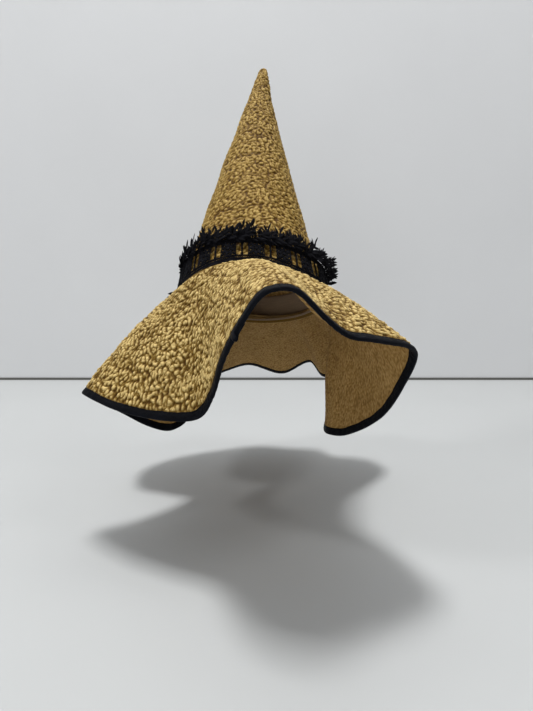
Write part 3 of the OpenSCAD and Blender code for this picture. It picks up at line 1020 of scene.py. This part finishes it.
def band_strip(solid, low, high, z, thick, ripple, pitch):
    """A dense strip all along the lace, ribbed across like satin stitch."""
    x = along_lace(0.7)
    ribs = ripple * np.cos(2 * math.pi * round(LACE_L / pitch) * x / LACE_L)
    middle, half = (low + high) / 2, (high - low) / 2
    rings = []
    for turn in np.linspace(0, 2 * math.pi, 13)[:-1]:
        rings.append(vec(x, middle + (half + 0.2 * ribs) * math.cos(turn),
                         z + (thick / 2 + ribs) * math.sin(turn)))
    solid.add_rings(rings)


def fill_lace_heading(solid):
    band_strip(solid, 0.1, 4.4, 0.7, 1.3, 0.12, 1.1)
    rope(solid, 0.8, 1.2, 0.45, 0.5)
    rope(solid, 3.6, 1.1, 0.45, 0.5)
    rope(solid, 7.3, 0.8, 0.5, 0.6)
    for x in along_lace(2.3):
        ring(solid, x, 5.6, 0.7, 0.95, 0.36, 10)


def fill_lace_braid(solid):
    low = HEADING_H + OPENWORK_H
    band_strip(solid, low - 0.5, low + BRAID_H, 0.6, 1.0, 0.1, 1.3)
    x = along_lace(1.1)
    turns = round(LACE_L / 9.0)
    for i in range(3):
        a = 2 * math.pi * (turns * x / LACE_L + i / 3)
        path = vec(x, low + BRAID_H / 2 - 0.3 + 1.9 * np.sin(a), 1.3 + 0.55 * np.cos(2 * a))
        closed_strand(solid, path, 0.95, 6)
    rope(solid, low - 0.1, 0.9, 0.4, 0.5)


def fill_lace_rosettes(solid):
    """Round flowers of padded petals, ringed with cord and tied at the corners."""
    petal, petal_faces = pad(6.0, 4.1, 2.0, crease=0.25)
    knot, knot_faces = pad(4.4, 4.4, 2.2)
    corner, corner_faces = pad(4.6, 2.8, 1.4)
    for x, (dx, dy, dz, turn) in repeats():
        cx, cy = x + dx, OPEN_MIDDLE + dy
        for i in range(PETALS):
            lean = 2 * math.pi * i / PETALS + turn
            solid.add(turned(petal, lean, 0.06, cx + 2.0 * math.sin(lean),
                             cy + 2.0 * math.cos(lean), 1.0 + 0.3 * dz), petal_faces)
        solid.add(turned(knot, 0.0, 0.0, cx, cy - 2.2, 1.5), knot_faces)
        ring(solid, cx, cy, 1.0, 7.5, 0.7, 40, 6)
        ring(solid, cx, cy, 1.5, 3.1, 0.42, 20)
        for sx in (-1, 1):
            for sy in (-1, 1):
                lean = math.atan2(sx, sy)
                solid.add(turned(corner, lean + 0.35 * sx * sy, 0.0, cx + 4.9 * sx,
                                 cy + 4.7 * sy, 0.7), corner_faces)
            arc = np.linspace(-1, 1, 15)
            solid.add(*tube(vec(cx + sx * (8.7 - 0.6 * (1 - arc**2)),
                                OPEN_MIDDLE + arc * OPENWORK_H / 2, 0.8), 0.55))


def fill_lace_bars(solid):
    """Upright bars between the rosettes, each two twisted cords with a knot."""
    for x, (dx, dy, dz, turn) in repeats():
        cx = x + REPEAT / 2 + dx
        ys = np.linspace(HEADING_H - 0.6, HEADING_H + OPENWORK_H + 0.6, 26)
        share = (ys - ys[0]) / (ys[-1] - ys[0])
        splay = 0.55 + 1.3 * np.abs(2 * share - 1) ** 5
        for phase in (0.0, math.pi):
            a = 2 * math.pi * 3.0 * share + phase
            solid.add(*tube(vec(cx + splay * np.cos(a), ys, 0.8 + 0.5 * np.sin(a)), 0.62))
        knot, faces = pad(3.4, 2.9, 2.2)
        solid.add(turned(knot, 0.0, 0.0, cx, OPEN_MIDDLE - 1.7 + dy, 0.9), faces)
        for y in (HEADING_H + 1.2, HEADING_H + OPENWORK_H - 1.2):
            ring(solid, cx, y, 0.8, 1.3, 0.4, 14)


def flare(az):
    """How far the fringe falls outwards, in radians: most on the +X side."""
    return np.radians(10 + 46 * max(0.0, math.cos(math.radians(az - 10))) ** 4)


def fill_lace_leaves(solid):
    """The fringe: two rows of leaning sprigs, each a stem with almond leaves."""
    rng = np.random.default_rng(17)
    foot = BAND_H - 5.0
    for count, length, lean, z in ((84, 14.5, 0.95, 2.7), (70, 18.5, 0.62, 1.7)):
        for i in range(count):
            x = LACE_L * (i + rng.uniform(-0.25, 0.25)) / count
            az = x / LACE_L * TURN
            out = flare(az) * rng.uniform(0.35, 1.6) + rng.uniform(-0.08, 0.10)
            angle = lean + rng.normal(0, 0.25)
            curl = rng.uniform(-0.02, 0.035)
            size = length * rng.uniform(0.8, 1.12)
            spans = 9
            path, heading = [np.array([x, foot + rng.uniform(-1.0, 1.0), z])], angle
            for s in range(spans):
                tip = out * (0.4 + 0.6 * s / spans)
                go = np.array([math.sin(heading) * math.cos(tip),
                               math.cos(heading) * math.cos(tip), math.sin(tip)])
                path.append(path[-1] + go * size / spans)
                heading += curl * size / spans
            solid.add(*tube(path, np.linspace(0.55, 0.3, len(path)), 5))
            for s in range(2, spans + 1):
                side = 1 if s % 2 else -1
                spread = 0.0 if s == spans else side * rng.uniform(0.6, 1.15)
                leaf, faces = pad(rng.uniform(8.0, 11.5), rng.uniform(2.6, 3.5), 1.1,
                                  8, 8, crease=0.4)
                solid.add(turned(leaf, angle + curl * s * size / spans + spread,
                                 out + rng.uniform(-0.15, 0.2), *path[s],
                                 roll=rng.uniform(-0.5, 0.5)), faces)


def fill_lace_spur(solid):
    """The cut end of the lace, folded over itself, with two leaves come loose."""
    x = SPUR_AZ / TURN * LACE_L
    ys = np.linspace(0.5, BAND_H - 0.5, 24)
    for shift in (-3.4, -1.1, 1.2, 3.3):
        sway = 0.35 * np.sin(ys * 0.9 + shift)
        solid.add(*tube(vec(x + shift + sway, ys, 2.6 + 0.2 * np.cos(ys * 1.3)), 0.95))
    for y in np.arange(2.0, BAND_H - 1, 3.1):
        knot, faces = pad(7.5, 2.6, 1.4)
        solid.add(turned(knot, math.pi / 2, 0.0, x - 3.8, y, 3.0), faces)
    for lean, out, size in ((2.3, 0.95, 15.0), (1.9, 1.2, 12.0)):
        leaf, faces = pad(size, 4.0, 1.6, 10, 8, crease=0.4)
        solid.add(turned(leaf, -lean, out, x - 3.0, 2.6, 3.4), faces)


def make_lace_stitches():
    solid = Solid()
    points, faces = capsule(4.2, THREAD_R)
    for x, (dx, dy, dz, turn) in repeats():
        for share in (0.25, 0.75):
            solid.add(turned(points, -math.pi / 2 + turn, 0.0, x + share * REPEAT + dx,
                             HEADING_H / 2 + 0.4 * dy, 1.75), faces)
    solid.build("lace_stitches", "fine", "black_thread", BLACK_THREAD, on_lace)


# ---------- making the hat ----------


brim_top = make_brim_top()
brim_stiffener = make_stiffener("brim_interlining", brim_point, brim_flat, 0.0, 0.15,
                                360, 0.99, 0.0, 6.0 / BRIM_W)
brim_lining = make_brim_lining()
crown = make_crown_cloth()
crown_stiffener = make_stiffener("crown_interlining", crown_point, crown_flat, CLOTH_T,
                                 0.05, 144, 0.0, STIFFENER_TOP, 8.0)
crown_lining = make_crown_lining()
make_seam_allowance()
sweatband = make_sweatband()
binding = make_binding()
make_binding_join()
make_binding_stitches()
make_crown_sewing()
for node, fill in (("lace_heading", fill_lace_heading), ("lace_braid", fill_lace_braid),
                   ("lace_rosettes", fill_lace_rosettes), ("lace_bars", fill_lace_bars),
                   ("lace_leaves", fill_lace_leaves), ("lace_spur", fill_lace_spur)):
    lace = Solid()
    fill(lace)
    lace.build(node, "fine", "lace_thread", LACE, on_lace)
make_lace_stitches()

hem_points = brim_point(azimuths(720), 1.0, 0.0)

# ---------- floor, light and camera ----------

FLOOR_Z = -0.27
WALL_Y = 0.733
UPRIGHT = math.pi / 2
for name, depth, place, tilt, colour, roughness in (
        ("floor", 6.0, (0, WALL_Y - 3.0, FLOOR_Z), 0.0, (0.41, 0.42, 0.42), 0.5),
        ("wall", 4.0, (0, WALL_Y, FLOOR_Z + 2.0), UPRIGHT, (0.73, 0.74, 0.75), 0.7),
        # A thin dark board where the floor meets the wall is painted shade in the joint.
        ("wall_gap_shade", 0.006, (0, WALL_Y - 0.002, FLOOR_Z + 0.003), UPRIGHT,
         (0.12, 0.12, 0.11), 0.9)):
    n = Nodes(name)
    inside = n.add("ShaderNodeTexCoord").outputs["Object"]
    stain = n.ramp(n.noise(inside, 3.0, 4.0),
                   [(0.3, tuple(0.97 * c for c in colour)), (0.7, colour)])
    n.set(Base_Color=stain, Roughness=roughness)
    mesh = bpy.data.meshes.new(name)
    w, d = 3.0, depth / 2
    mesh.from_pydata([(-w, -d, 0), (w, -d, 0), (w, d, 0), (-w, d, 0)], [],
                     [(0, 1, 2, 3)])
    mesh.materials.append(n.material)
    board = bpy.data.objects.new(name, mesh)
    board.location, board.rotation_euler = place, (tilt, 0, 0)
    bpy.context.scene.collection.objects.link(board)

for name, place, aim, size, power in (
        ("key", (-2.9, -1.2, 2.5), (0, 0, 0), (0.6, 0.5), 44),
        ("top", (-0.3, 0.1, 3.6), (0, 0, 0), (0.8, 0.6), 132),
        ("right", (2.0, -1.0, 2.6), (0.3, 0.4, 0), (1.2, 0.9), 24),
        ("low", (-0.25, -1.3, -0.1), (0.1, 0, -0.1), (0.6, 0.4), 2.6)):
    light = bpy.data.lights.new(name, "AREA")
    light.shape, light.energy = "RECTANGLE", power
    light.size, light.size_y = size
    lamp = bpy.data.objects.new(name, light)
    lamp.location = place
    lamp.rotation_euler = (Vector(aim) - Vector(place)).to_track_quat(
        "-Z", "Y").to_euler()
    bpy.context.scene.collection.objects.link(lamp)

world = bpy.data.worlds.new("studio")
world.use_nodes = True
sky = world.node_tree.nodes["Background"].inputs
sky["Color"].default_value, sky["Strength"].default_value = (0.97, 0.98, 1, 1), 0.22
bpy.context.scene.world = world
bpy.context.scene.view_settings.view_transform = "Standard"

camera = bpy.data.cameras.new("camera")
camera.sensor_fit = "VERTICAL"
camera.sensor_height = 24.0
camera.lens = 18.03
viewer = bpy.data.objects.new("camera", camera)
viewer.location = (0.0145, -0.640, 0.037)
viewer.rotation_euler = (math.radians(80), 0, 0)
bpy.context.scene.collection.objects.link(viewer)
bpy.context.scene.camera = viewer
